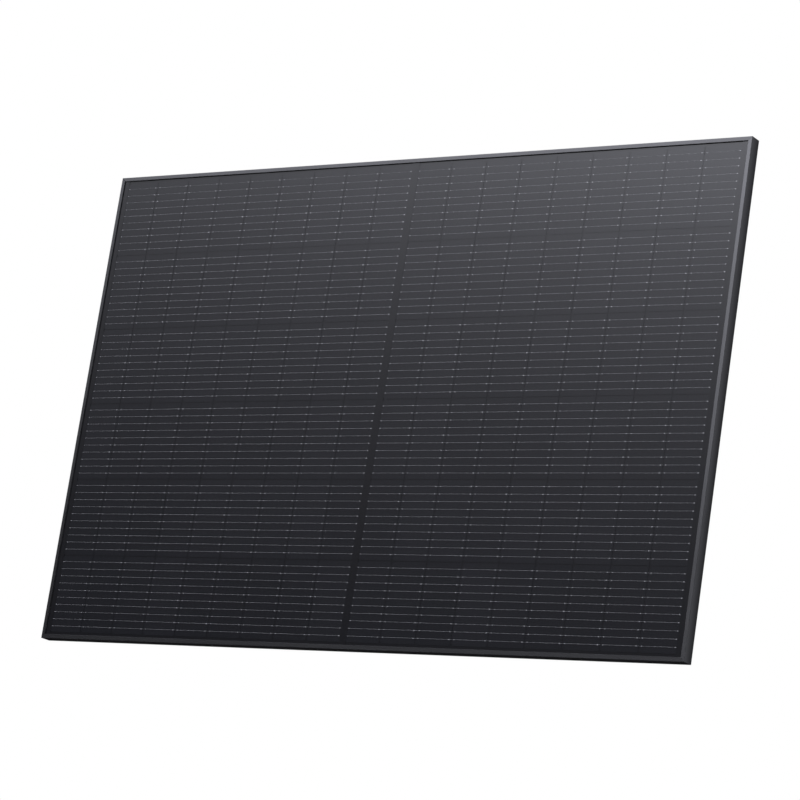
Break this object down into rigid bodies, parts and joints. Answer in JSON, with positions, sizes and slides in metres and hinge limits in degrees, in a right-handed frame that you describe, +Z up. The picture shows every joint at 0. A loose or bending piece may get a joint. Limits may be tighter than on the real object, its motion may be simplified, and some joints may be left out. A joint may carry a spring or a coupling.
{
  "type": "solar panel",
  "caption": "Framed black photovoltaic module with half-cut cells in two halves, mitred aluminium frame and split junction boxes on its back.",
  "frame": {"origin": "centre of the rear mounting plane, which holds the back faces of the frame flanges", "axes": "+X along the long side, +Z up the short side, +Y out of the back; the glass looks towards -Y"},
  "size_m": [1.722, 0.03, 1.134],
  "materials": {
    "frame": "black anodised, fine satin with faint extrusion lines",
    "key": "mill finish",
    "glass": "tempered low-iron glass with an anti-reflective, slightly matt coat",
    "encapsulant": "clear film",
    "rear_encapsulant": "black film",
    "cell": "dark coated silicon with fine printed lines and thin wires",
    "ribbon": "tinned copper, satin",
    "backsheet": "matt black film, faintly pebbled",
    "sealant": "black silicone, satin",
    "box": "fine moulded texture",
    "gland": "satin moulded plastic",
    "potting": "soft cast silicone",
    "diode": "moulded epoxy"
  },
  "bodies": {
    "root": {"backsheet": "backsheet", "bypass_diode_bottom": "diode", "bypass_diode_middle": "diode", "bypass_diode_top": "diode", "cable_gland_bottom": "gland", "cable_gland_top": "gland", "cell_string_1_left": "cell", "cell_string_1_right": "cell", "cell_string_2_left": "cell", "cell_string_2_right": "cell", "cell_string_3_left": "cell", "cell_string_3_right": "cell", "cell_string_4_left": "cell", "cell_string_4_right": "cell", "cell_string_5_left": "cell", "cell_string_5_right": "cell", "cell_string_6_left": "cell", "cell_string_6_right": "cell", "centre_ribbon_1": "ribbon", "centre_ribbon_2": "ribbon", "centre_ribbon_3": "ribbon", "centre_ribbon_4": "ribbon", "corner_key_bottom_left": "key", "corner_key_bottom_right": "key", "corner_key_top_left": "key", "corner_key_top_right": "key", "edge_sealant": "sealant", "end_ribbon_left_1": "ribbon", "end_ribbon_left_2": "ribbon", "end_ribbon_left_3": "ribbon", "end_ribbon_right_1": "ribbon", "end_ribbon_right_2": "ribbon", "end_ribbon_right_3": "ribbon", "frame_rail_bottom": "frame", "frame_rail_left": "frame", "frame_rail_right": "frame", "frame_rail_top": "frame", "front_encapsulant": "encapsulant", "front_glass": "glass", "junction_box_adhesive_bottom": "sealant", "junction_box_adhesive_middle": "sealant", "junction_box_adhesive_top": "sealant", "junction_box_bottom": "box", "junction_box_lid_bottom": "box", "junction_box_lid_middle": "box", "junction_box_lid_top": "box", "junction_box_middle": "box", "junction_box_top": "box", "potting_bottom": "potting", "potting_middle": "potting", "potting_top": "potting", "rear_encapsulant": "rear_encapsulant", "terminal_bottom_lower": "ribbon", "terminal_bottom_upper": "ribbon", "terminal_middle_lower": "ribbon", "terminal_middle_upper": "ribbon", "terminal_top_lower": "ribbon", "terminal_top_upper": "ribbon"}
  },
  "joints": []
}
